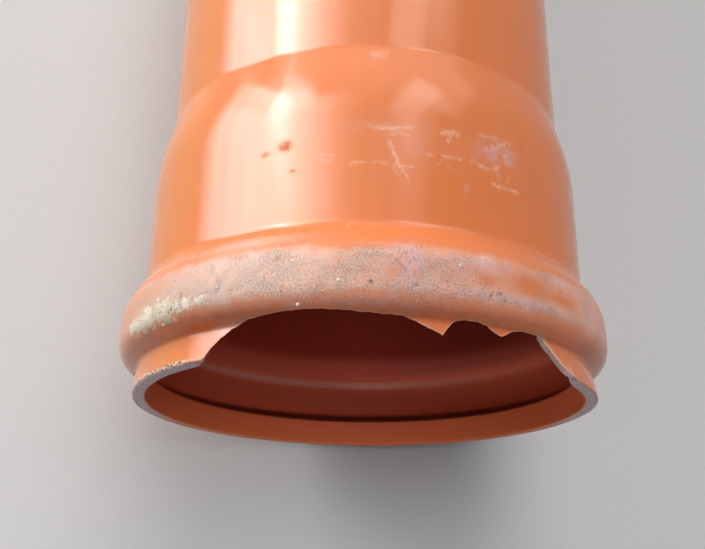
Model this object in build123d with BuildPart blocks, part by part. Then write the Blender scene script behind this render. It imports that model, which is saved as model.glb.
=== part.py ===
from build123d import *
import os
from math import cos, radians, sin, tan

# A length of plastic sewer pipe, lying on its side with its socket towards -Y.
# The wall is one moulding: plain barrel, flare, socket, seal bead and lip.
# Lengths along the pipe are measured in from the socket's mouth, in millimetres.

# The pipe and its wall.
pipe_diameter = 110.0
wall = 3.2
barrel_length = 500.0
chamfer_length = 6.0
chamfer_depth = 1.6

# The socket, which takes the plain end of the next pipe.
socket_play = 0.4
flare_start = 61.5
flare_length = 13.5
flare_top_radius = 54.0
flare_foot_radius = 6.0

# The bead, which holds the seal ring inside.
bead_height = 5.4
bead_shoulder = 21.3
bead_back = 27.6
bead_face_angle = 66.0
groove_corner_radius = 1.8
bead_shoulder_radius = 12.0
bead_back_radius = 4.0

# The lip in front of the bead, which opens a little towards the mouth.
lip_length = 7.0
lip_root_rise = 0.4
lip_mouth_rise = 1.0

# The break. The top of the lip has snapped off along the root of the bead and left two teeth.
# Its angles go round the mouth from +X towards +Z, so 90 is the top and 180 the left side.
# Its depths go in from the mouth.
left_end_angle = 125.3
left_turn_angle = 121.5
left_turn_depth = 3.9
left_shoulder_angle = 116.9
left_shoulder_depth = 6.5
valley_start_angle = 114.2
valley_start_depth = 7.35
valley_middle_angle = 102.0
valley_middle_depth = 8.15
valley_end_angle = 84.4
valley_end_depth = 7.4
tooth_angle = 74.3
tooth_depth = 3.8
gap_start_angle = 72.3
gap_start_depth = 6.3
gap_middle_angle = 69.3
gap_middle_depth = 7.35
gap_end_angle = 64.9
gap_end_depth = 7.0
small_tooth_angle = 60.8
small_tooth_depth = 5.2
small_gap_start_angle = 57.6
small_gap_start_depth = 6.7
small_gap_middle_angle = 54.5
small_gap_middle_depth = 7.25
small_gap_end_angle = 50.0
small_gap_end_depth = 7.15
flank_bend_angle = 47.8
flank_bend_depth = 6.2
flank_foot_angle = 42.3
flank_foot_depth = 2.2
flank_toe_angle = 39.7
flank_toe_depth = 1.1
right_end_angle = 35.6

# How far the broken faces lean in under the outer skin, and how far the right flank's do.
undercut_angle = 35.0
flank_undercut_angle = 15.0

# Radii that follow from these.
barrel_radius = pipe_diameter / 2
socket_radius = barrel_radius + socket_play / 2 + wall
bead_radius = socket_radius + bead_height
root_radius = socket_radius + lip_root_rise
mouth_radius = socket_radius + lip_mouth_rise
bead_corner_radius = groove_corner_radius + wall
face_slope = tan(radians(bead_face_angle))
bead_front = lip_length + (bead_radius - root_radius) / face_slope
flare_end = flare_start + flare_length
total_length = flare_end + barrel_length

# The pipe lies on its bead, with its middle over the origin.
mouth_y = -total_length / 2
section = Plane(origin=(0, mouth_y, bead_radius), x_dir=(0, 1, 0), z_dir=(1, 0, 0))
pipe_axis = Axis(section.origin, section.x_dir)

# The outside of the wall from the lip's root to the plain end, with a radius for each corner.
lip_mouth = (0, mouth_radius)
lip_root = (lip_length, root_radius)
outside = [
    ((bead_front, bead_radius), bead_corner_radius),
    ((bead_shoulder, bead_radius), bead_shoulder_radius),
    ((bead_back, socket_radius), bead_back_radius),
    ((flare_start, socket_radius), flare_top_radius),
    ((flare_end, barrel_radius), flare_foot_radius),
]
corners = [point for point, radius in outside]
corner_radii = [radius for point, radius in outside]


def leaning_plane(lean):
    """A plane over the top of the mouth, whose cuts run down and in under the outer skin at this angle."""
    tilt = radians(lean)
    skin_top = bead_radius + root_radius * sin(radians(small_gap_end_angle))
    return Plane(origin=(0, mouth_y, skin_top), x_dir=(1, 0, 0), z_dir=(0, -sin(tilt), cos(tilt)))


def seen_on(plane, angle, depth):
    """Where a point of the outer skin, by angle and depth in from the mouth, falls on a plane seen square on."""
    if depth < lip_length:
        radius = mouth_radius + (root_radius - mouth_radius) * depth / lip_length
    else:
        radius = root_radius + (depth - lip_length) * face_slope
    across = radius * cos(radians(angle))
    height = radius * sin(radians(angle))
    local = plane.to_local_coords(Vector(across, mouth_y + depth, bead_radius + height))
    return (local.X, local.Y)


# The cuts reach half-way to the pipe's axis, and start well in front of the mouth.
cut_reach = bead_radius / 2
cut_front = -2 * lip_length
break_plane = leaning_plane(undercut_angle)
flank_plane = leaning_plane(flank_undercut_angle)

with BuildPart() as pipe:
    # The wall, as one thickness behind its outside line, turned about the pipe's axis.
    with BuildSketch(section):
        with BuildLine():
            Line(lip_mouth, lip_root)
            FilletPolyline(lip_root, *corners, (total_length, barrel_radius), radius=corner_radii)
            offset(amount=wall, side=Side.RIGHT)
        make_face()
    revolve(axis=pipe_axis)

    # The mouth is sawn square.
    split(bisect_by=Plane(origin=section.origin, z_dir=section.x_dir), keep=Keep.TOP)

    # The plain end's chamfer, which leads it into the next socket.
    plain_end = pipe.faces().sort_by(Axis.Y)[-1]
    plain_rim = plain_end.edges().sort_by(SortBy.LENGTH)[-1]
    chamfer(plain_rim, length=chamfer_depth, length2=chamfer_length, reference=plain_end)

    # The broken lip, from its left end to the last gap.
    with BuildSketch(break_plane):
        left_end = seen_on(break_plane, left_end_angle, 0)
        valley_start = seen_on(break_plane, valley_start_angle, valley_start_depth)
        valley_end = seen_on(break_plane, valley_end_angle, valley_end_depth)
        gap_start = seen_on(break_plane, gap_start_angle, gap_start_depth)
        gap_end = seen_on(break_plane, gap_end_angle, gap_end_depth)
        small_gap_start = seen_on(break_plane, small_gap_start_angle, small_gap_start_depth)
        small_gap_end = seen_on(break_plane, small_gap_end_angle, small_gap_end_depth)
        with BuildLine():
            Polyline(
                left_end,
                seen_on(break_plane, left_turn_angle, left_turn_depth),
                seen_on(break_plane, left_shoulder_angle, left_shoulder_depth),
                valley_start,
            )
            valley_middle = seen_on(break_plane, valley_middle_angle, valley_middle_depth)
            ThreePointArc(valley_start, valley_middle, valley_end)
            Polyline(valley_end, seen_on(break_plane, tooth_angle, tooth_depth), gap_start)
            ThreePointArc(gap_start, seen_on(break_plane, gap_middle_angle, gap_middle_depth), gap_end)
            small_tooth_tip = seen_on(break_plane, small_tooth_angle, small_tooth_depth)
            Polyline(gap_end, small_tooth_tip, small_gap_start)
            small_gap_middle = seen_on(break_plane, small_gap_middle_angle, small_gap_middle_depth)
            ThreePointArc(small_gap_start, small_gap_middle, small_gap_end)
            Polyline(small_gap_end, (small_gap_end[0], cut_front), (left_end[0], cut_front), left_end)
        make_face()
    extrude(amount=cut_reach, both=True, mode=Mode.SUBTRACT)

    # The right flank of the break, which starts behind the last gap's end.
    with BuildSketch(flank_plane):
        flank_top = seen_on(flank_plane, small_gap_end_angle, small_gap_end_depth)
        right_end = seen_on(flank_plane, right_end_angle, 0)
        with BuildLine():
            Polyline(
                flank_top,
                seen_on(flank_plane, flank_bend_angle, flank_bend_depth),
                seen_on(flank_plane, flank_foot_angle, flank_foot_depth),
                seen_on(flank_plane, flank_toe_angle, flank_toe_depth),
                right_end,
                (right_end[0], cut_front),
                (flank_top[0] - wall, cut_front),
                (flank_top[0] - wall, flank_top[1] - wall),
                flank_top,
            )
        make_face()
    extrude(amount=cut_reach, both=True, mode=Mode.SUBTRACT)

pipe.part.label = "pipe"

os.makedirs("parts", exist_ok=True)
export_step(pipe.part, "parts/pipe.step")
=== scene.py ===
from itertools import combinations
import bpy
import numpy as np
from mathutils import Matrix, Vector


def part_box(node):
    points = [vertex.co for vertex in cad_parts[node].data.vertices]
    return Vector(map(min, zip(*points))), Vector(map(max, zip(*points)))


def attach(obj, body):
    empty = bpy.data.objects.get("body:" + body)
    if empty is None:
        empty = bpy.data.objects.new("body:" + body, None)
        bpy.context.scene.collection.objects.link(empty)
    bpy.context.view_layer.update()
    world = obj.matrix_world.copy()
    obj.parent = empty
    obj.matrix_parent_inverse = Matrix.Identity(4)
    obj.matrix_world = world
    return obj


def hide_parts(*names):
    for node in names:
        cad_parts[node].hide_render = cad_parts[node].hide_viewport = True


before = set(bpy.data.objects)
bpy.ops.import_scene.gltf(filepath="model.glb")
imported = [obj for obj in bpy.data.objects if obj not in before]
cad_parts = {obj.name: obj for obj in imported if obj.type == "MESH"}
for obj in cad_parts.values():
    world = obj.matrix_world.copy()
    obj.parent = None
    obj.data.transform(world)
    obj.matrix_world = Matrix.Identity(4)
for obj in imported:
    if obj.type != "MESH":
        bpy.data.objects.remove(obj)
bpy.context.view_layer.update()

# A length of orange-brown plastic sewer pipe on its side. The top of its socket's lip has snapped off.
# Places on the pipe are given by an angle in degrees, round the mouth from +X over the top, and by
# millimetres along the outer skin from the mouth. Depth is millimetres into the wall.
MM = 0.001
pipe_low, pipe_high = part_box("pipe")

# The wall's section, in millimetres, as the pipe is made.
dirt_room = 0.2
wall = 3.2
barrel_radius = 55.0
socket_radius = 58.4
bead_radius = (pipe_high.z - pipe_low.z) / 2 / MM - dirt_room
lip_root_radius = 58.8
lip_mouth_radius = 59.4
lip_length = 7.0
bead_front = 9.23
bead_shoulder = 21.3
bead_back = 27.6
flare_start = 61.5
flare_end = 75.0
groove_front_thinning = 1.4
pipe_length = (pipe_high.y - pipe_low.y) / MM
chamfer_length = 6.0
chamfer_depth = 1.6

# The break: the angle, and where the outer skin ends there.
break_line = [
    (125.3, 0.0), (125.0, 0.5), (123.8, 1.9), (121.5, 3.9), (118.3, 5.9), (115.5, 7.2), (113.8, 7.9),
    (109.6, 8.6), (105.4, 9.35), (100.5, 9.45), (94.9, 9.0), (90.0, 8.3), (87.3, 7.9), (86.4, 7.5),
    (85.2, 7.85), (82.6, 7.45), (80.0, 6.45), (74.3, 3.8), (72.3, 6.4), (71.2, 7.2), (69.5, 7.75),
    (66.7, 7.7), (64.2, 7.05), (61.5, 5.45), (60.8, 5.25), (60.1, 5.45), (57.6, 6.75), (55.5, 7.4),
    (52.3, 7.3), (49.8, 7.35), (48.3, 6.7), (46.3, 5.05), (44.6, 3.8), (42.3, 2.2), (39.7, 1.1),
    (35.6, 0.5), (34.9, 0.0),
]

# How much further in the inner skin ends, by angle. Most of the broken face leans in under the outer skin.
break_lean = [
    (130.0, 0.0), (128.6, 0.5), (126.4, 3.6), (125.0, 5.0), (117.0, 5.0), (113.0, 2.2), (109.0, 0.5),
    (88.0, 0.5), (84.0, 2.0), (57.5, 2.0), (54.0, 0.8), (49.8, 0.6), (47.5, 1.5), (45.6, 2.6),
    (41.7, 3.2), (39.5, 2.9), (37.2, 2.0), (35.0, 2.1), (32.5, 1.8), (31.9, 0.6), (30.0, 0.0),
]

# The grid of the wall, in rows along the skin and columns round the pipe. A stretch has its start, its end
# and about how far apart its lines are.
column_stretches = [
    (-95.0, 28.0, 2.2), (28.0, 131.0, 0.45), (131.0, 145.0, 0.55), (145.0, 175.0, 1.0),
    (175.0, 265.0, 2.2),
]
near_end = 13.0
row_stretches = [
    (near_end, 26.0, 0.45), (26.0, 28.4, 0.8), (28.4, 33.2, 0.4), (33.2, 42.0, 1.4), (42.0, 58.0, 0.6),
    (58.0, 77.8, 1.4), (77.8, 80.6, 0.35), (80.6, 120.0, 6.0), (120.0, 540.0, 34.0),
]
inner_row_stretches = [
    (near_end, 34.0, 0.9), (34.0, 60.0, 5.0), (60.0, 77.8, 1.8), (77.8, 80.6, 0.5), (80.6, 560.0, 36.0),
]
# The rows between the rim and near_end. The inner skin has more where its first corner is.
near_rows = 24
inner_near_rows = 20
lip_edge_shares = np.linspace(0.486, 0.546, 7)
# The depths of the rim's rows, as shares of the wall, from the inner skin to the outer.
rim_shares = [0.985, 0.93, 0.82, 0.66, 0.5, 0.34, 0.18, 0.07, 0.015]

# The rounding of the rim's edges, and how far back and how deep the outer edge of the mouth is worn.
edge_round = 0.22
bevel_reach = 0.5
bevel_depth = 0.55
# The lump that stands out at the foot of the right flank: its angle, half width and height.
lump_angle = 38.6
lump_half_width = 2.2
lump_height = 1.2


def rounded_line(points, radii, steps=16):
    """The outline of a bent line whose corners are arcs, with the outward normal at each of its points.

    At a corner the arc starts radius x tan(half the turn) before it. Its centre stands one radius to the
    side of that start, and the arc is the start swung about the centre, through the turn, in equal steps.
    """
    points = np.array(points, float)
    radii = np.array(radii, float)[:, None]
    ahead = np.diff(points, axis=0)
    ahead /= np.linalg.norm(ahead, axis=1, keepdims=True)
    come, leave = ahead[:-1], ahead[1:]
    turn = np.arctan2(come[:, 0] * leave[:, 1] - come[:, 1] * leave[:, 0], (come * leave).sum(1))[:, None]
    start = points[1:-1] - come * radii * np.tan(np.abs(turn) / 2)
    to_centre = np.stack([-come[:, 1], come[:, 0]], 1) * np.sign(turn) * radii
    swing = turn * np.linspace(0, 1, steps)
    cosine, sine = np.cos(swing), np.sin(swing)

    def swung(arrow):
        return np.stack([arrow[:, :1] * cosine - arrow[:, 1:] * sine,
                         arrow[:, :1] * sine + arrow[:, 1:] * cosine], -1)

    arcs = (start + to_centre)[:, None] + swung(-to_centre)
    heading = swung(come)
    line = np.concatenate([points[:1], arcs.reshape(-1, 2), points[-1:]])
    heading = np.concatenate([ahead[:1], heading.reshape(-1, 2), ahead[-1:]])
    normal = np.stack([-heading[:, 1], heading[:, 0]], 1)
    return line, normal


def moved_in(points, distance):
    """A bent line moved to its right by a distance.

    Each point goes along the sum of the normals of its two runs, by the distance over 1 + their product.
    """
    points = np.array(points, float)
    ahead = np.diff(points, axis=0)
    ahead /= np.linalg.norm(ahead, axis=1, keepdims=True)
    normal = np.stack([-ahead[:, 1], ahead[:, 0]], 1)
    before, after = np.vstack([normal[:1], normal]), np.vstack([normal, normal[-1:]])
    return points - distance * (before + after) / (1 + (before * after).sum(1, keepdims=True))


# The outside of the wall from the mouth, and the inside under it, whose first corner is the lip's edge. The
# front wall of the groove is thinner than the rest.
outside_line = [
    (0, lip_mouth_radius), (lip_length, lip_root_radius), (bead_front, bead_radius),
    (bead_shoulder, bead_radius), (bead_back, socket_radius), (flare_start, socket_radius),
    (flare_end, barrel_radius), (pipe_length, barrel_radius),
]
outside_radii = [0.5, 5.0, 12.0, 4.0, 54.0, 6.0]
inside_radii = [1.0, 1.8, 8.8, 7.2, 50.8, 9.2]
section, section_normal = rounded_line(outside_line, outside_radii)
inside_line = moved_in(outside_line, wall)
inside_line[1:3, 0] -= groove_front_thinning
inner_section = rounded_line(inside_line, inside_radii)[0]
section_reach = np.concatenate([[0], np.cumsum(np.linalg.norm(np.diff(section, axis=0), axis=1))])
skin_length = section_reach[-1]


def in_wall(reach, depth):
    """Where a point of the wall is: how far along the pipe and how far from its axis.

    The outer and the inner skin are their lines read at that reach, and the point lies on the straight line
    between the two, at its share of the wall.
    """
    along, radius, inner_along, inner_radius = (np.interp(reach, section_reach, values)
                                                for values in (*section.T, *inner_section.T))
    share = depth / wall
    return along + (inner_along - along) * share, radius + (inner_radius - radius) * share


def placed(angle, along, radius):
    """Points in the frame: the radius turned about the pipe's axis by the angle, and moved along the pipe."""
    turn = np.radians(angle)
    across = radius * np.cos(turn)
    up = radius * np.sin(turn)
    middle = np.array([0, pipe_low.y, (pipe_low.z + pipe_high.z) / 2])
    return np.stack(np.broadcast_arrays(across, along, up), -1) * MM + middle


def smooth(value, low, high):
    """A soft step: 0 below low, 1 above high, and 3t^2 - 2t^3 between them."""
    share = np.clip((value - low) / (high - low), 0, 1)
    return share * share * (3 - 2 * share)


def mottle(across, along, cell, seed):
    """Soft noise from -1 to 1: random heights at the corners of square cells, joined by soft steps."""
    heights = np.random.default_rng(seed).uniform(-1, 1, (64, 64))
    x, y = np.broadcast_arrays(np.asarray(across) / cell, np.asarray(along) / cell)
    column, row = np.floor(x).astype(int), np.floor(y).astype(int)
    fx, fy = x - column, y - row
    fx, fy = fx * fx * (3 - 2 * fx), fy * fy * (3 - 2 * fy)

    def corner(i, j):
        return heights[(column + i) % 64, (row + j) % 64]

    near = corner(0, 0) * (1 - fx) + corner(1, 0) * fx
    far = corner(0, 1) * (1 - fx) + corner(1, 1) * fx
    return near * (1 - fy) + far * fy


def arc_length(angle):
    """Millimetres round the socket for an angle in degrees."""
    return np.radians(angle) * socket_radius


def stretched(stretches):
    """Values over several stretches, each cut into equal steps of about the size given for it."""
    parts = []
    for low, high, size in stretches:
        count = max(2, round((high - low) / size))
        parts.append(np.linspace(low, high, count + 1)[:-1])
    return np.concatenate(parts + [[stretches[-1][1]]])


def read_off(table, angle):
    """A list of (angle, value) read at any angle, with straight runs between its points."""
    at, value = np.array(sorted(table)).T
    return np.interp(angle, at, value)


def pipe_columns():
    """The angles of the columns. The column nearest to each corner of the break is moved onto it."""
    angles = stretched(column_stretches)[:-1]
    corners = np.array([angle for angle, reach in break_line])
    nearest = np.abs(angles[:, None] - corners).argmin(0)
    angles[nearest] = corners
    return angles


def rim_of(angle):
    """Where the outer and the inner skin end, by angle, and how broken the rim is there, from 0 to 1."""
    outer = read_off(break_line, angle)
    inner = outer + read_off(break_lean, angle)
    broken = smooth(inner, 0.05, 0.5)
    ragged = 0.10 * mottle(arc_length(angle), 0, 0.9, 11) + 0.07 * mottle(arc_length(angle), 5, 0.45, 12)
    sawn = 0.05 + 0.05 * mottle(arc_length(angle), 9, 2.5, 13)
    ragged = np.where(outer > 0.02, ragged, np.abs(sawn))
    return outer + ragged, inner + np.abs(ragged), broken


def bevel_at(angle):
    """How far the outer edge of the mouth is worn back, in millimetres. It is worn at the left."""
    return bevel_reach * smooth(angle, 124, 134) * (1 - smooth(angle, 160, 176))


def pipe_wall():
    """The whole wall as one closed grid that goes out along the outer skin and back along the inner.

    Each row has a reach along the skin and a depth in the wall. From near_end outwards both are the same all
    round. Between the rim and near_end the reach is rim + (near_end - rim) x share, so that the rows follow
    the break. The rim's own rows run from the inner skin's end to the outer skin's, at the depths that
    rim_shares gives, and their reach goes straight from one end to the other, with the corners rounded and
    the face roughened. The lip opens a little, so a square end goes in by depth x the lip's slope.
    """
    angle = pipe_columns()
    outer_end, inner_end, broken = rim_of(angle)
    share = np.linspace(0, 1, near_rows, endpoint=False)[:, None] ** 1.15
    inner_share = np.append(np.linspace(0, 1, inner_near_rows, endpoint=False), lip_edge_shares)
    inner_share = np.sort(inner_share)[:, None]

    chamfer_start = skin_length - chamfer_length
    chamfer_rows = [chamfer_start - 0.1, chamfer_start, chamfer_start + 0.1, skin_length]
    outer_reach = np.append(stretched(row_stretches), chamfer_rows)[:, None]
    outer_depth = chamfer_depth * np.clip((outer_reach - skin_length) / chamfer_length + 1, 0, 1)
    inner_reach = stretched(inner_row_stretches)[::-1, None]
    end_depth = np.linspace(chamfer_depth, wall, 4)[1:, None]

    rounding = np.where(broken > 0.5, edge_round * 0.4, edge_round)
    bevel = bevel_at(angle)
    outer_start = outer_end + rounding + bevel
    inner_start = inner_end + rounding
    near_outer = outer_start + (near_end - outer_start) * share
    square = (lip_mouth_radius - lip_root_radius) / lip_length
    inner_start = inner_start + wall * square
    near_inner = inner_start + (near_end - inner_start) * inner_share[::-1]

    depth = wall * np.array(rim_shares)[:, None]
    inset = np.clip(1 - np.minimum(depth, wall - depth) / rounding, 0, 1)
    inset = rounding * (1 - np.sqrt(1 - inset ** 2))
    face = outer_end + (inner_end - outer_end) * depth / wall + depth * square
    face = face + bevel * np.clip(1 - depth / bevel_depth, 0, 1)
    place = arc_length(angle)
    torn = 0.20 * mottle(place, depth * 1.5, 0.8, 21) + 0.14 * mottle(place, depth * 1.5 + 30, 0.42, 22)
    lump = lump_height * np.exp(-((angle - lump_angle) / lump_half_width) ** 2)
    face = face + inset + (broken * torn - lump) * np.sin(np.pi * depth / wall)

    whole = np.ones_like(angle)
    end_reach = np.full_like(end_depth, skin_length)
    reach = np.concatenate([near_outer, outer_reach * whole, end_reach * whole,
                            inner_reach * whole, near_inner, face])
    into = np.concatenate([0 * near_outer, outer_depth * whole, end_depth * whole,
                           wall + 0 * inner_reach * whole, wall + 0 * near_inner, depth * whole])
    return angle, reach, into, broken


def lip_swell(angle, reach):
    """How far the lip stands out of round: a soft bulge of one millimetre at its right, up to the bead."""
    return np.exp(-((angle - 10) / 20) ** 2) * (1 - smooth(reach, 1, 8.5))


def closed_grid(name, points):
    """A mesh from a grid of points whose rows and columns both run round and meet themselves."""
    rows, columns = points.shape[:2]
    number = np.arange(rows * columns).reshape(rows, columns)
    below = np.roll(number, -1, 0)
    faces = np.stack([number, np.roll(number, -1, 1), np.roll(below, -1, 1), below], -1).reshape(-1, 4)
    return mesh_piece(name, points.reshape(-1, 3), faces)


def mesh_piece(name, points, faces):
    """An object whose mesh has these points and faces, turned to face outwards by the sign of its volume."""
    triangles = np.concatenate([faces[:, [0, i, i + 1]] for i in range(1, faces.shape[1] - 1)])
    a, b, c = points[triangles[:, 0]], points[triangles[:, 1]], points[triangles[:, 2]]
    if (a * np.cross(b, c)).sum() < 0:
        faces = faces[:, ::-1]
    mesh = bpy.data.meshes.new(name)
    mesh.from_pydata(points.tolist(), [], faces.tolist())
    mesh.polygons.foreach_set("use_smooth", np.ones(len(faces), bool))
    piece = bpy.data.objects.new(name, mesh)
    bpy.context.scene.collection.objects.link(piece)
    return piece


def set_amount(piece, name, values):
    """Keeps one number for each vertex of a piece, under a name that its material reads."""
    layer = piece.data.attributes.new(name, "FLOAT", "POINT")
    layer.data.foreach_set("value", np.asarray(values, np.float32).ravel())


def patches(angle, reach, spots):
    """Soft round patches, each strength x e^-(distance squared), the distance being in its own half sizes."""
    total = np.zeros(np.broadcast(angle, reach).shape)
    for at_angle, at_reach, half_angle, half_reach, strength in spots:
        away = ((angle - at_angle) / half_angle) ** 2 + ((reach - at_reach) / half_reach) ** 2
        total = total + strength * np.exp(-away)
    return total


def strokes(angle, reach, marks):
    """Scratches. Each is 1 along the straight line between its ends and falls off over its width."""
    total = np.zeros(np.broadcast(angle, reach).shape)
    x, y = np.broadcast_arrays(arc_length(angle), reach)
    for from_angle, from_reach, to_angle, to_reach, width, strength in marks:
        x0, x1 = arc_length(from_angle), arc_length(to_angle)
        dx, dy = x1 - x0, to_reach - from_reach
        share = np.clip(((x - x0) * dx + (y - from_reach) * dy) / (dx * dx + dy * dy), 0, 1)
        away = np.hypot(x - x0 - share * dx, y - from_reach - share * dy)
        total = np.maximum(total, strength * np.exp(-(away / width) ** 2))
    return total


# Street dirt on the bead: centre angle and reach, half sizes, strength. A minus sign is a cleaner place.
film_spots = [
    (128, 17, 16, 5, 0.42), (108, 18, 9, 6, 0.42), (86, 17.5, 14, 6, 0.22), (94, 12.7, 9, 1.2, -0.15),
    (138, 20.5, 7, 1.6, -0.25), (112, 12.9, 9, 1.5, 0.35), (56.5, 18.3, 4.6, 2.6, -0.62),
    (85, 17.5, 1.2, 2.2, -0.6), (46, 17.3, 5.5, 1.5, -0.6), (66.5, 17.8, 2.8, 1.5, -0.4),
    (67, 22.0, 4, 1.4, 0.3), (47.5, 22.2, 4, 1.4, 0.3), (33, 18, 8, 5, 0.35), (94, 23.5, 5, 1.4, -0.5),
    (54, 23.6, 4, 1.0, -0.4), (58, 14.6, 18, 1.1, 0.3), (150, 13.2, 5, 2.6, 0.3),
]
# Dust behind the bead, in the crease where the socket starts.
crease_film_spots = [(115, 26.6, 14, 2.2, 0.75), (149, 27.4, 12, 1.5, 0.5), (31, 27.4, 12, 1.5, 0.5)]
grit_spots = [
    (107.5, 22.0, 2.6, 1.5, 1.0), (114.5, 22.4, 1.6, 0.9, 0.6), (121, 20.5, 1.1, 0.7, 0.5),
    (110, 15.0, 9, 1.5, 0.75), (123, 14.8, 4.5, 1.4, 0.7), (108, 18.5, 5, 2.4, 0.35),
    (98.5, 13.6, 2.4, 2.2, 0.8), (94.5, 16.5, 2.2, 2.6, 0.85), (90, 17.5, 3.5, 4.5, 0.4),
    (88.5, 21.6, 4.5, 1.2, 0.55), (77, 17.0, 7.5, 4.5, 0.4), (74, 20.3, 2.6, 1.2, 0.6),
    (72, 15.6, 3, 1.2, 0.55), (80, 14.0, 10, 1.4, 0.4), (60, 13.7, 11, 1.1, 0.5),
    (93, 10.8, 8, 1.3, 0.55), (82, 10.8, 7, 1.2, 0.5), (50.5, 22.6, 1.6, 0.8, 0.6),
    (50.5, 14.5, 1.6, 0.8, 0.5), (136, 14.2, 9, 3.2, 0.4),
]
crust_spots = [
    (139.5, 14.4, 5.2, 2.7, 0.95), (132, 14.2, 4.2, 2.5, 0.85), (127, 14.3, 2.2, 2.0, 0.45),
    (146.5, 13.8, 4.0, 2.1, 0.8), (123.5, 14.0, 3.0, 1.5, 0.42), (117.6, 15.2, 2.0, 0.7, 0.25),
    (135.5, 19.6, 2.2, 0.6, 0.25), (107.5, 22.4, 2.2, 1.0, 0.35),
]
bristle_spots = [(81.5, 19.5, 2.6, 4.4, 1.0), (79.5, 24.0, 1.2, 1.8, 0.8), (83.5, 22.5, 1.6, 1.8, 0.7)]
# The bluish grey bloom that weather leaves.
bloom_spots = [
    (64.5, 21.2, 4.2, 1.8, 0.8), (48, 22.0, 4.0, 1.3, 0.7), (38.5, 20, 3.6, 2.0, 0.9),
    (22, 18.5, 12, 4.6, 0.9), (31, 15.5, 5, 3, 0.5), (81.6, 19.5, 3.2, 5.0, 1.3), (72, 20.5, 4, 2.4, 0.4),
    (110, 21.5, 8, 2.2, 0.35), (59.6, 53.0, 3.8, 2.9, 1.3), (55.4, 53.2, 2.2, 2.6, 1.1),
    (67.5, 42.2, 0.8, 1.2, 0.6), (60, 14.2, 15, 1.0, 0.8), (155, 17, 12, 5, 0.35),
    (140, 22.6, 6, 1.4, 0.8), (128, 23.2, 5, 1.0, 0.5), (76, 14.5, 7, 1.2, 0.35),
    (88, 75.5, 3.0, 1.6, 0.45), (78, 61.4, 9, 0.5, 0.3), (93, 11.0, 12, 1.4, 0.35),
    (119.2, 16.2, 0.9, 1.0, 1.3), (88.5, 55.0, 6, 1.4, 0.35), (80, 52, 6, 5, 0.22), (66, 52, 4, 4, 0.25),
    (73, 50, 3, 3, 0.2),
]
# Scratches on the socket, from one end to the other, with their width and strength: first those that run
# round the pipe, then the slanting ones.
round_marks = [
    (93.5, 45.8, 89.5, 46.2, 0.35, 0.7), (89.5, 46.2, 80.0, 45.5, 0.35, 0.7),
    (89.5, 54.9, 86.5, 54.6, 0.35, 0.9), (86.5, 54.6, 79.8, 55.3, 0.5, 0.75),
    (84.5, 53.4, 80.5, 53.5, 0.4, 0.5), (72.8, 55.2, 69.2, 55.4, 0.7, 0.8),
    (73.0, 49.1, 68.6, 49.1, 0.4, 0.7), (65.8, 49.3, 61.8, 48.3, 0.5, 0.7),
    (61.8, 48.3, 58.6, 49.6, 0.5, 0.7), (60.5, 44.8, 53.0, 44.8, 0.5, 0.8),
    (63.5, 56.6, 56.5, 57.2, 0.5, 0.5), (88.0, 61.0, 82.0, 61.3, 0.35, 0.3),
    (76.2, 49.1, 75.2, 49.1, 0.5, 0.9), (88.0, 76.0, 85.6, 76.8, 1.2, 0.45),
    (100.0, 48.3, 97.0, 47.9, 0.4, 0.5), (99.5, 46.6, 97.3, 46.4, 0.35, 0.6),
    (92.0, 21.8, 85.0, 21.6, 0.5, 0.8), (109.5, 23.4, 105.5, 23.2, 0.35, 0.8),
]
slant_marks = [
    (85.0, 51.6, 83.0, 46.2, 0.45, 0.8), (83.0, 46.2, 80.6, 42.2, 0.3, 0.7),
    (83.6, 48.0, 82.6, 45.2, 0.35, 0.8), (84.2, 45.2, 82.6, 42.8, 0.25, 0.6),
    (74.2, 46.8, 72.8, 48.4, 0.35, 0.6), (72.8, 48.4, 71.2, 46.2, 0.3, 0.5),
    (71.5, 53.2, 70.4, 56.0, 0.5, 0.7), (62.0, 53.2, 54.8, 57.0, 0.6, 0.5),
    (60.0, 49.8, 58.4, 46.8, 0.5, 0.5), (57.0, 53.0, 53.6, 54.6, 0.4, 0.5),
    (79.3, 16.0, 77.6, 18.2, 0.3, 0.9), (77.0, 16.6, 76.2, 17.6, 0.3, 0.7),
    (49.4, 57.6, 47.6, 59.0, 0.6, 0.3), (56.4, 46.0, 55.4, 48.0, 0.4, 0.4),
    (67.3, 22.2, 65.6, 22.9, 0.6, 0.8), (50.8, 22.0, 49.8, 23.0, 0.4, 0.6),
    (72.6, 19.7, 71.7, 20.4, 0.4, 0.9), (93.7, 30.6, 93.4, 31.3, 0.3, 1.0),
]
stain_spots = [
    (107.9, 51.4, 1.6, 1.3, 1.2), (130, 15.6, 1.8, 1.6, 0.35), (106, 45, 0.8, 0.6, 0.9),
    (112.8, 50.1, 1.1, 0.8, 0.9), (104, 31, 2.4, 2.8, 0.18), (108, 69.5, 0.4, 3.4, 0.3),
    (59.2, 50.9, 0.7, 0.7, 0.9), (93.4, 30.3, 0.35, 0.5, 0.8), (91.5, 26.5, 0.3, 0.6, 0.6),
    (89, 15.2, 0.5, 0.5, 1.2), (80, 53.1, 0.35, 0.3, 0.6), (57, 43.6, 0.6, 0.5, 0.5),
    (67.6, 41.2, 0.4, 0.3, 0.5), (68.5, 14, 0.4, 0.35, 1.0), (50.6, 22.2, 0.5, 0.35, 0.7),
    (51, 14.3, 0.5, 0.4, 0.7), (53.5, 46.8, 0.5, 0.7, 0.3), (106.5, 21, 0.6, 0.8, 0.5),
]
# Where bending has whitened the lip, and where the broken face is freshest and palest.
stress_spots = [(119, 6.6, 3.5, 1.7, 0.8), (39.0, 1.6, 1.8, 0.9, 1.2)]
snapped_spots = [(38.8, 1.6, 2.6, 3.0, 1.0), (45, 5, 5, 9, 0.7)]
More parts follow.
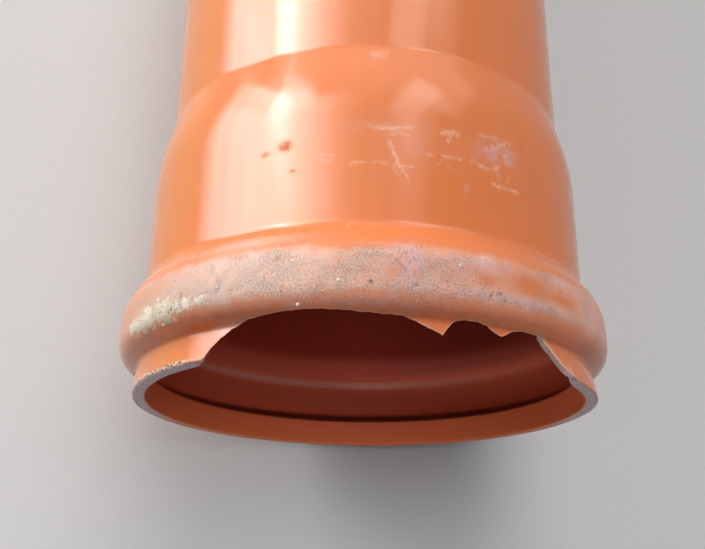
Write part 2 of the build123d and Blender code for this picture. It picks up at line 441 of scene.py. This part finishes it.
# Dark creases in the crust and dark nicks in the bead.
dark_marks = [
    (128.4, 13.2, 128.9, 17.0, 0.4, 0.6), (119.4, 15.2, 118.8, 17.4, 0.8, 0.4),
    (65.4, 15.2, 66.2, 13.6, 0.16, 1.0), (64.0, 15.9, 63.7, 14.8, 0.2, 1.0),
    (64.6, 14.9, 63.6, 15.3, 0.2, 1.0), (62.9, 14.5, 62.6, 13.6, 0.14, 0.9),
    (84.4, 20.2, 82.2, 17.6, 0.16, 0.7), (119.2, 17.9, 118.6, 17.5, 0.2, 0.8),
    (80.9, 15.0, 80.6, 14.9, 0.25, 0.9),
]


def bead_band(angle, reach):
    """Where dirt has settled: 1 on top of the bead and 0 off it, with a ragged edge, fading to the sides."""
    place = arc_length(angle)
    edge = 0.8 * mottle(place, reach, 2.6, 31) + 0.5 * mottle(place, reach, 0.9, 32)
    band = 0.35 * smooth(reach + edge, 9.6, 11.8) + 0.65 * smooth(reach + edge, 11.8, 14.2)
    band = band * (1 - smooth(reach + 0.6 * edge, 21.6, 25.2))
    return band * smooth(angle, 5, 35) * (1 - smooth(angle, 150, 176))


def film_at(angle, reach):
    """How thick the film of dust is, from 0 to 1."""
    film = np.clip(0.62 + patches(angle, reach, film_spots), 0, 1) * bead_band(angle, reach)
    return np.clip(film + patches(angle, reach, crease_film_spots), 0, 1)


def grit_at(angle, reach):
    """How many grains lie there, from 0 to 1."""
    sides = smooth(angle, 20, 50) * (1 - smooth(angle, 126, 150))
    spots = patches(angle, reach, grit_spots)
    specks = (0.14 * bead_band(angle, reach) + spots * (1 - 0.6 * smooth(reach, 13.0, 9.0))) * sides
    return np.clip(specks, 0, 1) * (1 - smooth(reach, 23.6, 25.0))


def crust_at(angle, reach):
    """How much dried mud there is: patches with a ragged edge."""
    place = arc_length(angle)
    ragged = 0.30 * mottle(place, reach, 1.6, 51) + 0.22 * mottle(place, reach, 0.7, 52)
    spots = patches(angle, reach, crust_spots)
    return smooth(spots + ragged * np.minimum(4 * spots, 1), 0.15, 1.05)


def from_break(angle, reach):
    """The distance in millimetres over the outer skin to the nearest point of the broken edge."""
    walk = np.linspace(break_line[-1][0], break_line[0][0], 500)
    edge_x, edge_y = arc_length(walk), read_off(break_line, walk)
    x, y = np.broadcast_arrays(arc_length(angle), reach)
    away = np.full(x.shape, 99.0)
    close = (x > edge_x[0] - 8) & (x < edge_x[-1] + 8) & (y < near_end + 3)
    near_x, near_y = x[close][:, None], y[close][:, None]
    away[close] = np.hypot(near_x - edge_x, near_y - edge_y).min(1)
    return away


def add_pipe():
    """The pipe's wall, with what its finish needs to know at each vertex."""
    angle, reach, into, broken = pipe_wall()
    outside = into < 0.05 * wall
    along, radius = in_wall(reach, into)
    place = arc_length(angle)
    fine, coarse = mottle(place, reach, 0.5, 41), mottle(place, reach, 1.1, 42)
    crust = crust_at(angle, reach) * outside
    grit = grit_at(angle, reach) * outside
    dark = strokes(angle, reach, dark_marks) * outside
    grime = grit * (0.04 + 0.05 * fine) + crust * (0.13 + 0.04 * coarse + 0.03 * fine) - 0.12 * dark
    radius = radius + grime + lip_swell(angle, reach)
    piece = closed_grid("pipe_wall", placed(angle, along, radius))

    row = np.arange(len(reach))[:, None]
    sawn_end = np.isclose(reach, skin_length) | ((into > 0.001) & (into < wall) & (reach > near_end))
    rim = ((row >= len(reach) - len(rim_shares)) | sawn_end).astype(float)
    edge = from_break(angle, reach)
    flank = smooth(angle, 35, 39) * (1 - smooth(angle, 47, 51))
    stress = 0.8 * (1 - smooth(edge, 0.05, 0.45))
    stress = stress + patches(angle, reach, stress_spots)
    stress = np.maximum(stress, 1.3 * flank * (1 - smooth(edge, 0.2, 1.3)))
    set_amount(piece, "film", film_at(angle, reach) * outside)
    set_amount(piece, "grit", grit)
    set_amount(piece, "crust", crust)
    set_amount(piece, "bristle", np.clip(patches(angle, reach, bristle_spots), 0, 1) * outside)
    set_amount(piece, "bloom", np.clip(patches(angle, reach, bloom_spots), 0, 1) * outside)
    set_amount(piece, "round_scuff", strokes(angle, reach, round_marks) * outside)
    set_amount(piece, "slant_scuff", strokes(angle, reach, slant_marks) * outside)
    set_amount(piece, "stain", np.clip(patches(angle, reach, stain_spots), 0, 1.2) * outside)
    set_amount(piece, "dark", dark)
    set_amount(piece, "stress", np.clip(stress, 0, 1) * outside)
    set_amount(piece, "rim", rim)
    set_amount(piece, "torn", broken * rim * (reach < near_end))
    set_amount(piece, "fringe", bevel_at(angle) / bevel_reach * (into < 0.1 * wall) * (reach < 1.1))
    set_amount(piece, "snapped", patches(angle, reach, snapped_spots) * rim)
    set_amount(piece, "under", (1 - smooth(np.sin(np.radians(angle)), -0.5, -0.05)) * rim)
    set_amount(piece, "depth", into / wall)
    set_amount(piece, "around", np.broadcast_to(place * MM, reach.shape))
    set_amount(piece, "reach", reach * MM)
    return piece


def grain_shape():
    """A ball of 12 points and 20 faces: the corners of three golden rectangles, and each close trio."""
    long = (1 + 5 ** 0.5) / 2
    flat = np.array([(0, a, b * long) for a in (-1, 1) for b in (-1, 1)])
    points = np.concatenate([np.roll(flat, turn, axis=1) for turn in range(3)])
    trios = np.array(list(combinations(range(12), 3)))
    sides = np.linalg.norm(points[trios] - points[np.roll(trios, 1, axis=1)], axis=2)
    faces = trios[(sides < 2.1).all(1)]
    first, second, third = (points[faces[:, i]] for i in range(3))
    inward = (first * np.cross(second, third)).sum(1) < 0
    faces[inward] = faces[inward, ::-1]
    return points / np.linalg.norm(points[0]), faces


# Single grains that stand out: angle, reach, size across in millimetres and tone, 0 dark to 1 white.
large_grains = [
    (102.6, 10.7, 0.85, 1.0), (135.2, 11.2, 0.7, 0.8), (89.0, 15.2, 0.6, 0.0), (72.1, 20.0, 0.7, 0.9),
    (119.0, 16.4, 0.8, 0.55), (66.6, 22.5, 0.6, 0.8), (103.3, 20.2, 0.5, 0.9), (93.5, 31.1, 0.35, 0.9),
    (94.8, 15.4, 0.7, 0.8), (50.4, 22.5, 0.6, 0.6), (97.6, 13.2, 0.6, 0.5), (78.8, 17.1, 0.5, 1.0),
    (144.5, 16.8, 0.5, 0.9), (148.6, 14.2, 0.5, 0.9),
]

# How many small grains there are, and how many places are tried for them.
grain_count = 1100
grain_tries = 60000


def add_grit(count):
    """Loose grains. Each is the small ball, stretched, squashed and turned on the skin by random numbers.

    Its middle is lifted off the skin by 0.08 of its size, so its foot is sunk in. Where grains lie follows
    grit_at and crust_at.
    """
    chance = np.random.default_rng(61)
    angle = chance.uniform(24, 150, grain_tries)
    reach = chance.uniform(9.4, 24.6, grain_tries)
    wish = np.maximum(grit_at(angle, reach), 0.7 * crust_at(angle, reach)) ** 1.3
    wanted = chance.uniform(0, 1, grain_tries) < wish
    angle, reach = angle[wanted][:count], reach[wanted][:count]
    size = 0.10 + 0.22 * chance.uniform(0, 1, count) ** 3
    tone = 0.5 + 0.5 * chance.uniform(-1, 1, count) ** 3
    large_angle, large_reach, large_size, large_tone = np.array(large_grains).T
    angle, reach = np.append(angle, large_angle), np.append(reach, large_reach)
    size, tone = np.append(size, large_size), np.append(tone, large_tone)
    total = len(angle)

    shape, faces = grain_shape()
    points = shape * (size[:, None, None] / 2) * chance.uniform(0.75, 1.25, (total, 12, 3))
    points = points * np.stack([chance.uniform(0.8, 1.3, total), chance.uniform(0.8, 1.3, total),
                                chance.uniform(0.5, 0.8, total)], 1)[:, None]
    turn = chance.uniform(0, 2 * np.pi, total)[:, None]
    across = points[..., 0] * np.cos(turn) - points[..., 1] * np.sin(turn)
    along = points[..., 0] * np.sin(turn) + points[..., 1] * np.cos(turn)
    out = points[..., 2] + size[:, None] * 0.08

    skin_along, skin_radius = in_wall(reach, 0 * reach)
    tilt, lift = (np.interp(reach, section_reach, values) for values in section_normal.T)
    radius = skin_radius[:, None] + out * lift[:, None] - along * tilt[:, None]
    radius = np.minimum(radius, bead_radius + 0.95 * dirt_room)
    forward = skin_along[:, None] + out * tilt[:, None] + along * lift[:, None]
    places = placed(angle[:, None] + np.degrees(across / skin_radius[:, None]), forward, radius)
    faces = (faces + 12 * np.arange(total)[:, None, None]).reshape(-1, 3)
    piece = mesh_piece("grit", places.reshape(-1, 3), faces)
    piece.data.polygons.foreach_set("use_smooth", np.zeros(len(faces), bool))
    set_amount(piece, "tone", np.repeat(tone, 12))
    return piece


# Nodes of a material.
def node(tree, kind, settings=(), **sockets):
    """A node with its settings, and its sockets given values or joined to the outputs given for them."""
    made = tree.nodes.new(kind)
    for name, value in dict(settings).items():
        setattr(made, name, value)
    for name, value in sockets.items():
        join(tree, value, made.inputs[name.replace("_", " ")])
    return made


def join(tree, value, socket):
    """Gives a socket a value, or a link from an output."""
    if isinstance(value, bpy.types.NodeSocket):
        tree.links.new(value, socket)
    else:
        socket.default_value = value


def sums(tree, operation, first, second=0.0, clamp=False):
    """The result of one sum on two values."""
    made = node(tree, "ShaderNodeMath", {"operation": operation, "use_clamp": clamp})
    join(tree, first, made.inputs[0])
    join(tree, second, made.inputs[1])
    return made.outputs[0]


def step(tree, value, low, high, bottom=0.0, top=1.0):
    """A soft step of a value, from bottom at low to top at high."""
    made = node(tree, "ShaderNodeMapRange", {"interpolation_type": "SMOOTHSTEP"}, Value=value,
                From_Min=low, From_Max=high, To_Min=bottom, To_Max=top)
    return made.outputs[0]


def over(tree, share, under, upper):
    """One colour laid over another by a share from 0 to 1."""
    made = node(tree, "ShaderNodeMix", {"data_type": "RGBA"})
    join(tree, share, made.inputs[0])
    join(tree, under, made.inputs[6])
    join(tree, upper, made.inputs[7])
    return made.outputs[2]


def amount(tree, name):
    """A number that a piece keeps at its vertices."""
    return node(tree, "ShaderNodeAttribute", {"attribute_name": name}).outputs["Fac"]


def noise(tree, scale, detail=3.0, rough=0.55, vector=None):
    """Soft noise from 0 to 1 with this many cells to the metre."""
    if vector is None:
        vector = node(tree, "ShaderNodeTexCoord").outputs["Object"]
    made = node(tree, "ShaderNodeTexNoise", Vector=vector, Scale=scale, Detail=detail, Roughness=rough)
    return made.outputs["Fac"]


def colour(red, green, blue):
    """A colour from the usual 0 to 255 values, in the linear form that nodes take."""
    share = np.array([red, green, blue]) / 255
    linear = np.where(share <= 0.04045, share / 12.92, ((share + 0.055) / 1.055) ** 2.4)
    return (*linear.tolist(), 1.0)


def material(name):
    """A new material, its node tree and its shader."""
    made = bpy.data.materials.new(name)
    made.use_nodes = True
    return made, made.node_tree, made.node_tree.nodes["Principled BSDF"]


def pipe_finish():
    """Orange-brown pipe plastic, satin, grey in the middle of its wall, with dust, bloom and scuffs, and
    painted light and shade.

    Steps of reach and around are in metres along the skin and round the socket, as the wall keeps them.
    """
    made, tree, shader = material("sewer_pipe_plastic")
    around = amount(tree, "around")
    reach = amount(tree, "reach")
    unrolled = node(tree, "ShaderNodeCombineXYZ", X=around, Y=reach).outputs[0]
    lengthwise = node(tree, "ShaderNodeMapping", Vector=unrolled, Scale=(1.0, 0.03, 1.0)).outputs[0]
    roundwise = node(tree, "ShaderNodeMapping", Vector=unrolled, Scale=(0.12, 1.0, 1.0)).outputs[0]
    slantwise = node(tree, "ShaderNodeMapping", Vector=unrolled, Scale=(1.0, 0.2, 1.0),
                     Rotation=(0, 0, -0.35)).outputs[0]

    def times(first, second):
        return sums(tree, "MULTIPLY", first, second)

    def plus(first, second):
        return sums(tree, "ADD", first, second)

    slow = noise(tree, 14.0, 2.0)
    drawn = noise(tree, 380.0, 2.0, vector=lengthwise)
    skin = over(tree, slow, colour(225, 120, 62), colour(232, 129, 70))
    skin = over(tree, step(tree, drawn, 0.35, 0.7, 0.0, 0.05), skin, colour(240, 160, 115))
    # The left side is painted a little paler: a painted sheen.
    painted_left_sheen = times(step(tree, around, 0.128, 0.142), step(tree, around, 0.21, 0.18))
    skin = over(tree, times(painted_left_sheen, 0.7), skin, colour(232, 145, 83))
    depth = amount(tree, "depth")
    # The bore: painted light and shade. It is lighter than the skin near the mouth, and darker deeper in,
    # darkest on the right.
    bore = over(tree, step(tree, reach, 0.0, 0.018), colour(252, 124, 72), colour(244, 116, 80))
    where = node(tree, "ShaderNodeTexCoord").outputs["Object"]
    across = node(tree, "ShaderNodeSeparateXYZ", Vector=where).outputs["X"]
    shaded = over(tree, step(tree, across, 0.04, -0.01), colour(156, 58, 40), colour(204, 80, 54))
    bore = over(tree, step(tree, reach, 0.024, 0.031), bore, shaded)
    # A dark band where the groove's front corner shows past the lip's inner edge: partly dirt, partly painted
    # shade.
    groove_dirt_and_shade = times(step(tree, reach, 0.0066, 0.0071), step(tree, reach, 0.0150, 0.0082))
    bore = over(tree, times(groove_dirt_and_shade, 0.9), bore, colour(70, 30, 24))
    # A pale ring on the back of the groove, weaker on the right: a painted highlight. The ring is also made a
    # little less rough.
    painted_ring_light = times(step(tree, reach, 0.0215, 0.0232), step(tree, reach, 0.0262, 0.0240))
    painted_ring_light = times(painted_ring_light, step(tree, across, 0.04, 0.005, 0.35, 1.0))
    bore = over(tree, times(painted_ring_light, 0.9), bore, colour(250, 156, 130))
    inside = step(tree, depth, 0.9, 1.0)
    skin = over(tree, inside, skin, bore)

    # The grey middle: smooth lilac where it is sawn, and paler and rough where it is torn.
    grain = noise(tree, 900.0, 4.0, 0.7)
    sawn = over(tree, step(tree, grain, 0.3, 0.75), colour(200, 172, 176), colour(220, 194, 197))
    torn = over(tree, step(tree, grain, 0.35, 0.65), colour(188, 160, 158), colour(246, 222, 216))
    middle = over(tree, amount(tree, "torn"), sawn, torn)
    middle = over(tree, times(amount(tree, "snapped"), 0.85), middle, colour(252, 228, 226))
    in_middle = times(step(tree, depth, 0.04, 0.10), step(tree, depth, 0.97, 0.91))
    in_middle = times(in_middle, sums(tree, "SUBTRACT", 1.0, times(amount(tree, "under"), 0.9)))
    rim = amount(tree, "rim")
    skin = over(tree, times(rim, in_middle), skin, middle)
    # The worn outer edge of the mouth at the left: pale, broken by dark notches that are painted shade.
    frays = step(tree, noise(tree, 1500.0), 0.44, 0.5)
    frayed = over(tree, frays, colour(112, 92, 84), colour(243, 212, 182))
    skin = over(tree, times(amount(tree, "fringe"), 0.9), skin, frayed)
    whitened = times(amount(tree, "stress"), step(tree, noise(tree, 600.0), 0.25, 0.65, 0.5, 1.0))
    skin = over(tree, times(whitened, 0.75), skin, colour(243, 196, 172))

    # Painted shade on the front of the bead and in the crease under it, and a faint pale veil from the bead's
    # front onto its top.
    ragged = noise(tree, 420.0, 4.0, 0.65)
    # The front of the bead is painted darker, as shade.
    front = times(step(tree, reach, 0.0072, 0.0082), step(tree, reach, 0.0125, 0.0100))
    # The crease at the lip's root is painted darker, as shade.
    crease_shade = times(step(tree, reach, 0.0058, 0.0070), step(tree, reach, 0.0084, 0.0074))
    outside = step(tree, depth, 0.1, 0.0)
    mostly_left = sums(tree, "MAXIMUM", step(tree, around, 0.05, 0.085, 0.3, 1.0),
                       step(tree, around, 0.045, 0.030))
    front = times(times(front, outside), mostly_left)
    skin = over(tree, times(front, step(tree, ragged, 0.3, 0.7, 0.14, 0.38)), skin, colour(116, 82, 84))
    skin = over(tree, times(times(crease_shade, outside), 0.28), skin, colour(128, 56, 42))
    veil = times(times(step(tree, reach, 0.0085, 0.0100), step(tree, reach, 0.0150, 0.0120)), outside)
    skin = over(tree, times(veil, step(tree, ragged, 0.3, 0.7, 0.04, 0.16)), skin, colour(222, 140, 132))

    # Bloom and scratches.
    bloom = times(amount(tree, "bloom"), step(tree, ragged, 0.3, 0.62))
    skin = over(tree, times(bloom, 0.5), skin, colour(214, 178, 182))
    fine_round = noise(tree, 5200.0, 3.0, 0.6, vector=roundwise)
    fine_slant = noise(tree, 4200.0, 3.0, 0.6, vector=slantwise)
    scuff = sums(tree, "MAXIMUM",
                 step(tree, plus(times(amount(tree, "round_scuff"), 0.32), fine_round), 0.62, 0.80),
                 step(tree, plus(times(amount(tree, "slant_scuff"), 0.32), fine_slant), 0.62, 0.80))
    any_mark = sums(tree, "MAXIMUM", amount(tree, "round_scuff"), amount(tree, "slant_scuff"))
    on_mark = step(tree, any_mark, 0.05, 0.3)
    scuff = times(plus(times(scuff, 0.7), 0.15), times(on_mark, step(tree, ragged, 0.32, 0.58, 0.25, 1.0)))
    skin = over(tree, times(scuff, 0.7), skin, colour(248, 210, 184))

    # The film of dust, greyer in places, and the grains in it.
    film = amount(tree, "film")
    combed = noise(tree, 3200.0, 2.0, 0.6, vector=node(tree, "ShaderNodeMapping", Vector=unrolled,
                                                       Scale=(1.0, 0.18, 1.0)).outputs[0])
    cover = times(film, step(tree, plus(ragged, times(combed, 0.5)), 0.45, 0.85, 0.5, 1.0))
    dust = over(tree, step(tree, around, 0.075, 0.1), colour(236, 200, 186), colour(192, 180, 165))
    dust = over(tree, step(tree, noise(tree, 150.0, 3.0), 0.4, 0.65), dust, colour(196, 187, 176))
    dust = over(tree, bloom, dust, colour(214, 178, 182))
    skin = over(tree, times(cover, 0.74), skin, dust)
    grit = times(amount(tree, "grit"), step(tree, noise(tree, 330.0, 2.0), 0.36, 0.60, 0.35, 1.0))
    pale_seed = noise(tree, 3300.0, 2.0, 0.6)
    dark_seed = noise(tree, 2900.0, 2.0, 0.6, vector=node(tree, "ShaderNodeMapping", Vector=unrolled,
                                                         Location=(0.4, 0.2, 0.3)).outputs[0])
    any_grit = step(tree, grit, 0.02, 0.2)
    pale = times(step(tree, plus(pale_seed, times(grit, 0.14)), 0.58, 0.68), any_grit)
    skin = over(tree, times(pale, 0.3), skin, colour(238, 220, 204))
    dark = times(step(tree, plus(dark_seed, times(grit, 0.16)), 0.64, 0.70), any_grit)
    skin = over(tree, times(dark, 0.5), skin, colour(122, 98, 88))
    hairs = noise(tree, 2600.0, 2.0, 0.6, vector=slantwise)
    bristle = times(amount(tree, "bristle"), step(tree, hairs, 0.52, 0.64))
    skin = over(tree, times(bristle, 0.6), skin, colour(132, 112, 106))

    # Dried mud, dark marks and stains.
    crust = amount(tree, "crust")
    crust = times(step(tree, plus(crust, times(noise(tree, 800.0, 4.0, 0.7), 0.9)), 0.5, 1.0),
                  step(tree, crust, 0.0, 0.12))
    blotches = step(tree, noise(tree, 260.0, 2.0), 0.35, 0.6)
    mud = over(tree, blotches, colour(212, 204, 180), colour(240, 224, 204))
    mud = over(tree, step(tree, noise(tree, 1700.0, 4.0, 0.75), 0.45, 0.38), mud, colour(120, 110, 94))
    skin = over(tree, times(crust, 0.84), skin, mud)
    nicked = times(amount(tree, "dark"), step(tree, grain, 0.3, 0.5, 0.5, 0.9))
    skin = over(tree, nicked, skin, colour(84, 72, 62))
    stain = times(amount(tree, "stain"), step(tree, noise(tree, 1000.0, 3.0), 0.3, 0.55, 0.5, 1.0))
    skin = over(tree, times(stain, 0.38), skin, colour(122, 80, 60))
    join(tree, skin, shader.inputs["Base Color"])

    dull = sums(tree, "MAXIMUM", cover, sums(tree, "MAXIMUM", crust, times(grit, 0.8)))
    rough = plus(step(tree, drawn, 0.3, 0.8, 0.13, 0.18), times(dull, 0.5))
    rough = plus(rough, plus(times(rim, 0.35), plus(times(scuff, 0.2), times(stain, 0.8))))
    dull_bore = times(inside, sums(tree, "SUBTRACT", 0.34, times(painted_ring_light, 0.2)))
    rough = sums(tree, "ADD", rough, dull_bore, clamp=True)
    join(tree, rough, shader.inputs["Roughness"])
    shader.inputs["Specular IOR Level"].default_value = 0.26

    rough_crust = times(times(crust, 0.5), noise(tree, 1300.0, 3.0, 0.7))
    relief = plus(times(pale, 0.6), plus(times(dark, 0.4), rough_crust))
    relief = plus(relief, times(times(rim, grain), step(tree, amount(tree, "torn"), 0.0, 1.0, 0.15, 0.9)))
    bump = node(tree, "ShaderNodeBump", Height=relief, Distance=0.22 * MM, Strength=0.8)
    join(tree, bump.outputs[0], shader.inputs["Normal"])
    return made


def grit_finish():
    """Dull mineral grains, from dark brown through grey beige to nearly white."""
    made, tree, shader = material("street_grit")
    tone = amount(tree, "tone")
    shade = over(tree, step(tree, tone, 0.15, 0.55), colour(92, 78, 66), colour(196, 178, 158))
    shade = over(tree, step(tree, tone, 0.6, 1.0), shade, colour(238, 232, 224))
    speckle = step(tree, noise(tree, 3000.0, 3.0), 0.3, 0.7, 0.0, 0.35)
    join(tree, over(tree, speckle, shade, colour(150, 136, 120)), shader.inputs["Base Color"])
    join(tree, step(tree, noise(tree, 2000.0), 0.3, 0.7, 0.6, 0.85), shader.inputs["Roughness"])
    return made


def seen_by_eye(tree):
    """1 for rays that reach the camera directly, by a reflection or through glass, and 0 for stray light."""
    path = node(tree, "ShaderNodeLightPath").outputs
    reflected = sums(tree, "MAXIMUM", path["Is Glossy Ray"], path["Is Transmission Ray"])
    return sums(tree, "MAXIMUM", path["Is Camera Ray"], reflected)


def floor_finish():
    """A plain pale floor that keeps the shadow, and throws back less light than it shows.

    It is greyer towards the window at its left, so that it stays evenly pale there.
    """
    made, tree, shader = material("floor")
    place = node(tree, "ShaderNodeTexCoord").outputs["Object"]
    across = node(tree, "ShaderNodeSeparateXYZ", Vector=place).outputs["X"]
    seen = over(tree, step(tree, across, -0.4, -1.4), (0.64, 0.64, 0.63, 1), (0.22, 0.22, 0.22, 1))
    join(tree, over(tree, seen_by_eye(tree), (0.11, 0.11, 0.11, 1), seen), shader.inputs["Base Color"])
    shader.inputs["Roughness"].default_value = 0.9
    shader.inputs["Specular IOR Level"].default_value = 0.0
    return made


def add_floor():
    """A flat sheet that rises a little, so that it touches the pipe under its bead and its plain end."""
    rest = (bead_front + bead_shoulder) / 2 * MM + pipe_low.y
    rise = (bead_radius + dirt_room - barrel_radius) * MM / (pipe_high.y - rest)
    reach = 4.0
    corners = np.array([(-reach, -reach), (reach, -reach), (reach, reach), (-reach, reach)])
    height = (corners[:, 1] - rest) * rise
    mesh = bpy.data.meshes.new("floor")
    mesh.from_pydata(np.column_stack([corners, height]).tolist(), [], [(0, 1, 2, 3)])
    floor = bpy.data.objects.new("floor", mesh)
    bpy.context.scene.collection.objects.link(floor)
    mesh.materials.append(floor_finish())


def aimed(place, target):
    """The placing of a lamp that stands at a place and shines at a target."""
    turn = (Vector(target) - Vector(place)).to_track_quat("-Z", "Y")
    return Matrix.Translation(place) @ turn.to_matrix().to_4x4()


def add_panel(name, place, target, size, radiance, on_matt=True, on_gloss=True):
    """A soft rectangular lamp. Its power is its radiance x pi x its area."""
    lamp = bpy.data.lights.new(name, "AREA")
    lamp.shape = "RECTANGLE"
    lamp.size, lamp.size_y = size
    lamp.energy = radiance * np.pi * size[0] * size[1]
    panel = bpy.data.objects.new(name, lamp)
    panel.matrix_world = aimed(place, target)
    panel.visible_diffuse = on_matt
    panel.visible_glossy = on_gloss
    bpy.context.scene.collection.objects.link(panel)


def add_upright_panel(name, side, near, far, foot, top, radiance, **seen):
    """A panel that stands upright to the left of the pipe and faces it, from near to far along the pipe."""
    middle, height = (near + far) / 2, (foot + top) / 2
    add_panel(name, (side, middle, height), (0, middle, height), (far - near, top - foot), radiance, **seen)


# What the plastic reflects at its left: upright bands, each from near to far and from foot to top, with its
# radiance. They fade out towards the floor. Above them come level bands, each from left to right.
sheen_bands = [
    (-0.15, 0.2, 0.12, 0.8, 5.5), (-0.15, 0.85, 0.0, 0.03, 1.0), (-0.15, 0.85, 0.03, 0.06, 2.0),
    (-0.15, 0.85, 0.06, 0.09, 3.0), (-0.15, 0.85, 0.09, 0.12, 4.0), (0.2, 0.85, 0.12, 0.2, 4.6),
    (0.2, 0.85, 0.2, 0.46, 9.6), (0.2, 0.85, 0.46, 0.74, 14.0), (0.2, 0.85, 0.74, 1.08, 17.5),
    (0.85, 1.4, 0.05, 0.2, 3.4), (0.85, 1.4, 0.2, 0.46, 6.4), (0.85, 1.4, 0.46, 0.74, 10.0),
    (0.85, 1.4, 0.74, 1.08, 12.5), (0.2, 1.75, 1.08, 1.67, 18.3), (-0.2, 2.15, 1.67, 2.3, 17.0),
    (-0.2, 2.3, 2.3, 2.9, 13.5), (1.75, 2.3, 0.9, 1.67, 8.0), (2.15, 2.7, 1.67, 2.3, 5.0),
]
high_sheen_bands = [
    (-1.3, -1.02, 9.5), (-1.02, -0.77, 6.4), (-0.77, -0.53, 4.0), (-0.53, -0.29, 2.4), (-0.29, 0.45, 1.5),
]


def add_light():
    """The lamps and the world.

    Two skies above, a weak fill in front and a window at the left light the matt colour and show in no
    reflection. All panels called sheen are seen only in reflections: upright bands at the left with two
    brighter patches in front of them, level bands over those, two at the back right, one far behind the
    plain end and one in front of the mouth. The world is pale to look at and a weak, bluish stray light.
    """
    add_panel("sky", (0.9, 0.4, 3.1), (0, -0.1, 0), (2.2, 1.8), 3.9, on_gloss=False)
    add_panel("back_sky", (0.7, 2.8, 2.9), (0, 0, 0), (2.4, 1.8), 3.4, on_gloss=False)
    add_panel("mouth_sheen", (-0.25, -1.47, 2.38), (0, -0.29, 0), (1.3, 0.3), 3.2, on_matt=False)
    add_panel("front", (-0.6, -2.2, 0.45), (0, -0.29, 0.06), (1.8, 0.8), 1.2, on_gloss=False)
    add_upright_panel("window", -1.6, 0.3, 3.5, 0.0, 1.2, 7.7, on_gloss=False)
    for number, (near, far, foot, top, radiance) in enumerate(sheen_bands):
        add_upright_panel(f"sheen_{number}", -1.3, near, far, foot, top, radiance, on_matt=False)
    add_upright_panel("wide_bright_sheen", -1.295, 0.66, 1.5, 1.0, 1.85, 5.0, on_matt=False)
    add_upright_panel("bright_sheen", -1.29, 0.74, 1.4, 1.1, 1.55, 8.0, on_matt=False)
    for number, (left, right, radiance) in enumerate(high_sheen_bands):
        middle = (left + right) / 2
        place, target, size = (middle, 1.2, 2.95), (middle, 1.2, 0), (right - left, 2.8)
        add_panel(f"high_sheen_{number}", place, target, size, radiance, on_matt=False)
    add_panel("back_sheen", (1.1, 1.8, 2.1), (0, 0, 0), (0.7, 1.5), 3.5, on_matt=False)
    add_panel("wide_back_sheen", (1.15, 1.55, 2.3), (0, 0, 0), (1.0, 1.8), 1.6, on_matt=False)
    add_panel("far_sheen", (0, 2.3, 1.5), (0, 0, 0), (5.0, 1.7), 1.7, on_matt=False)
    world = bpy.data.worlds.new("studio")
    bpy.context.scene.world = world
    world.use_nodes = True
    tree = world.node_tree
    back = tree.nodes["Background"]
    shade = over(tree, seen_by_eye(tree), (0.19, 0.195, 0.21, 1), (0.85, 0.85, 0.85, 1))
    join(tree, shade, back.inputs["Color"])
    back.inputs["Strength"].default_value = 1.0


# The camera, which looks down at the mouth from above and in front. Its place is in millimetres from the
# mouth and the axis, its angles are in degrees and its lens is in millimetres.
camera_in_front = 46.14
camera_above_axis = 224.98
camera_to_left = 1.31
camera_heading = -1.15
camera_dip = 69.47
camera_roll = -0.46
camera_lens = 43.78


def add_camera():
    """A camera from its place, the heading and dip of its view, and its roll about the view."""
    place = placed(90, -camera_in_front, camera_above_axis) - np.array([camera_to_left * MM, 0, 0])
    heading, dip, roll = np.radians([camera_heading, camera_dip, camera_roll])
    view = Vector((np.sin(heading) * np.cos(dip), np.cos(heading) * np.cos(dip), -np.sin(dip)))
    level = Vector((np.cos(heading), -np.sin(heading), 0))
    above = level.cross(view)
    right = np.cos(roll) * level + np.sin(roll) * above
    up = -np.sin(roll) * level + np.cos(roll) * above
    lens = bpy.data.cameras.new("camera")
    lens.lens = camera_lens
    camera = bpy.data.objects.new("camera", lens)
    turn = Matrix((right, up, -view)).transposed().to_4x4()
    camera.matrix_world = Matrix.Translation(Vector(place)) @ turn
    bpy.context.scene.collection.objects.link(camera)
    bpy.context.scene.camera = camera


add_camera()
add_floor()
add_light()
bpy.context.scene.view_settings.view_transform = "Standard"

pipe = add_pipe()
pipe.data.materials.append(pipe_finish())
grit = add_grit(grain_count)
grit.data.materials.append(grit_finish())
for piece in (pipe, grit):
    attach(piece, "root")
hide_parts("pipe")
